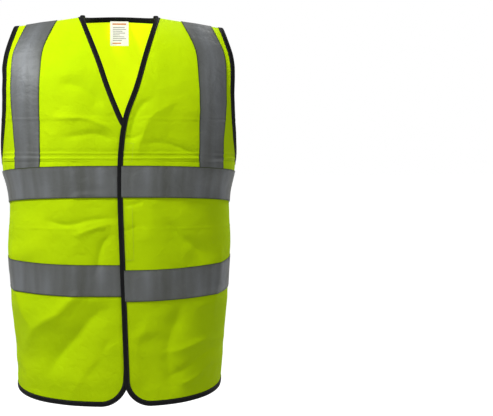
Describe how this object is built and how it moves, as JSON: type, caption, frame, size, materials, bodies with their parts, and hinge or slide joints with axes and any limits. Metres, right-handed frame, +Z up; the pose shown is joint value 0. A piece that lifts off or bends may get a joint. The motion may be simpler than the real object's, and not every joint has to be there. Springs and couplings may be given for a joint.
{
  "type": "high visibility vest",
  "caption": "Sleeveless fluorescent safety vest with grey reflective tapes, black bound edges and an overlapping front on hook-and-loop patches.",
  "frame": {"origin": "midway between the two neck points of the shoulder seams, where the vest rests on the wearer's shoulders", "axes": "+Z up the wearer's body, -Y the way the wearer faces, +X to the wearer's left"},
  "size_m": [0.4042, 0.2717, 0.6566],
  "materials": {
    "cloth": "fluorescent yellow-green knitted cloth",
    "reflective_tape": "grey glass-bead reflective tape, slight sheen",
    "binding": "black folded binding tape",
    "hook_and_loop": "fluorescent yellow hook-and-loop tape",
    "seam_thread": "overlocked seam allowance",
    "print": "black transfer print",
    "label": "white woven label"
  },
  "bodies": {
    "vest_body": {"back_panel": "cloth", "left_front_side_panel": "cloth", "right_front_side_panel": "cloth", "back_chest_tape": "reflective_tape", "back_waist_tape": "reflective_tape", "left_side_chest_tape": "reflective_tape", "left_side_waist_tape": "reflective_tape", "left_front_brace_tape": "reflective_tape", "left_back_brace_tape": "reflective_tape", "right_side_chest_tape": "reflective_tape", "right_side_waist_tape": "reflective_tape", "right_front_brace_tape": "reflective_tape", "right_back_brace_tape": "reflective_tape", "back_neck_binding": "binding", "back_hem_binding": "binding", "left_neck_binding": "binding", "left_armhole_binding": "binding", "left_hem_binding": "binding", "right_neck_binding": "binding", "right_armhole_binding": "binding", "right_hem_binding": "binding", "left_side_seam": "seam_thread", "left_shoulder_seam": "seam_thread", "right_side_seam": "seam_thread", "right_shoulder_seam": "seam_thread", "back_print": "print"},
    "left_front": {"left_front_panel": "cloth", "left_front_chest_tape": "reflective_tape", "left_front_waist_tape": "reflective_tape", "left_front_binding": "binding", "left_front_hook_patch_1": "hook_and_loop", "left_front_hook_patch_2": "hook_and_loop"},
    "right_front": {"right_front_panel": "cloth", "right_front_chest_tape": "reflective_tape", "right_front_waist_tape": "reflective_tape", "right_front_binding": "binding", "right_front_loop_patch_1": "hook_and_loop", "right_front_loop_patch_2": "hook_and_loop"},
    "label": {"care_label": "label"}
  },
  "joints": [
    {"name": "left_front_open", "type": "hinge", "parent": "vest_body", "child": "left_front", "pos_m": [0.03469, -0.1345, -0.088], "axis": [-0.1472, 0, 0.9891], "range_deg": [0, 115]},
    {"name": "right_front_open", "type": "hinge", "parent": "vest_body", "child": "right_front", "pos_m": [-0.02845, -0.1325, -0.088], "axis": [-0.1579, 0, -0.9875], "range_deg": [0, 35]},
    {"name": "label_flip", "type": "hinge", "parent": "vest_body", "child": "label", "pos_m": [0, 0.065, -0.001], "axis": [-1, 0, 0], "range_deg": [0, 100]}
  ],
  "couplings": [
    {"joint": "right_front_open", "follows": "left_front_open", "ratio": 0.3}
  ]
}
